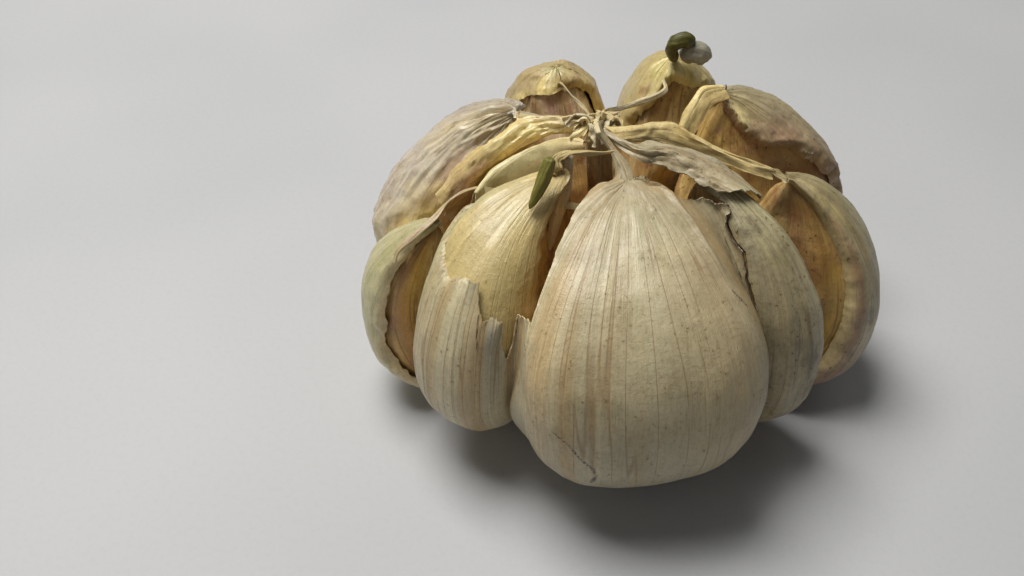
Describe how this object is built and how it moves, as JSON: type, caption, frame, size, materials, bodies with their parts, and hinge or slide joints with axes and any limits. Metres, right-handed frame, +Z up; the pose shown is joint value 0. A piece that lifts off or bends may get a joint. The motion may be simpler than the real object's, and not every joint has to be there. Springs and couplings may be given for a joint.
{
  "type": "elephant garlic bulb",
  "caption": "Whole elephant garlic bulb: fat cloves in torn papery leaves, ringed round a dried neck on a flat root plate, with green shoots breaking through",
  "frame": {"origin": "centre of the root plate's flat underside, on the surface that the bulb rests on", "axes": "+Z up along the bulb's axis; -Y towards the largest clove"},
  "size_m": [0.0897, 0.087, 0.0505],
  "materials": {
    "root_plate": "dry fibrous root plate, rough",
    "dried_neck": "dry shredded stem, pale straw, rough",
    "clove_skin": "leathery inner skin, mottled brown and ochre, half gloss",
    "cream_paper": "dry papery leaf, cream with brown veins, half matte",
    "grey_paper": "dry papery leaf, grey green with brown mottling, half matte",
    "tan_paper": "dry papery leaf, tan and yellow, half matte",
    "silver_skin": "thin translucent skin, silvery with purple stains, glossy",
    "green_paper": "papery leaf, pale green, half matte",
    "yellow_skin": "waxy inner leaf, yellow cream, half gloss",
    "green_shoot": "dark olive green shoot, smooth, half gloss"
  },
  "bodies": {
    "root": {"basal_plate": "root_plate", "neck": "dried_neck", "clove_front": "clove_skin", "clove_front_right": "clove_skin", "clove_right": "clove_skin", "clove_back_right": "clove_skin", "clove_back": "clove_skin", "clove_back_left": "clove_skin", "clove_left_back": "clove_skin", "clove_left": "clove_skin", "clove_front_left": "clove_skin", "clove_inner": "clove_skin", "leaf_front": "cream_paper", "leaf_front_right": "grey_paper", "leaf_right": "grey_paper", "leaf_back_right": "grey_paper", "leaf_back": "tan_paper", "leaf_back_left": "tan_paper", "leaf_left_back": "silver_skin", "leaf_left": "green_paper", "leaf_front_left": "yellow_skin", "leaf_inner": "yellow_skin", "torn_wrapper": "cream_paper", "sprout_front_left": "green_shoot", "sprout_back": "green_shoot", "sprout_sheath_back": "silver_skin"}
  },
  "joints": []
}
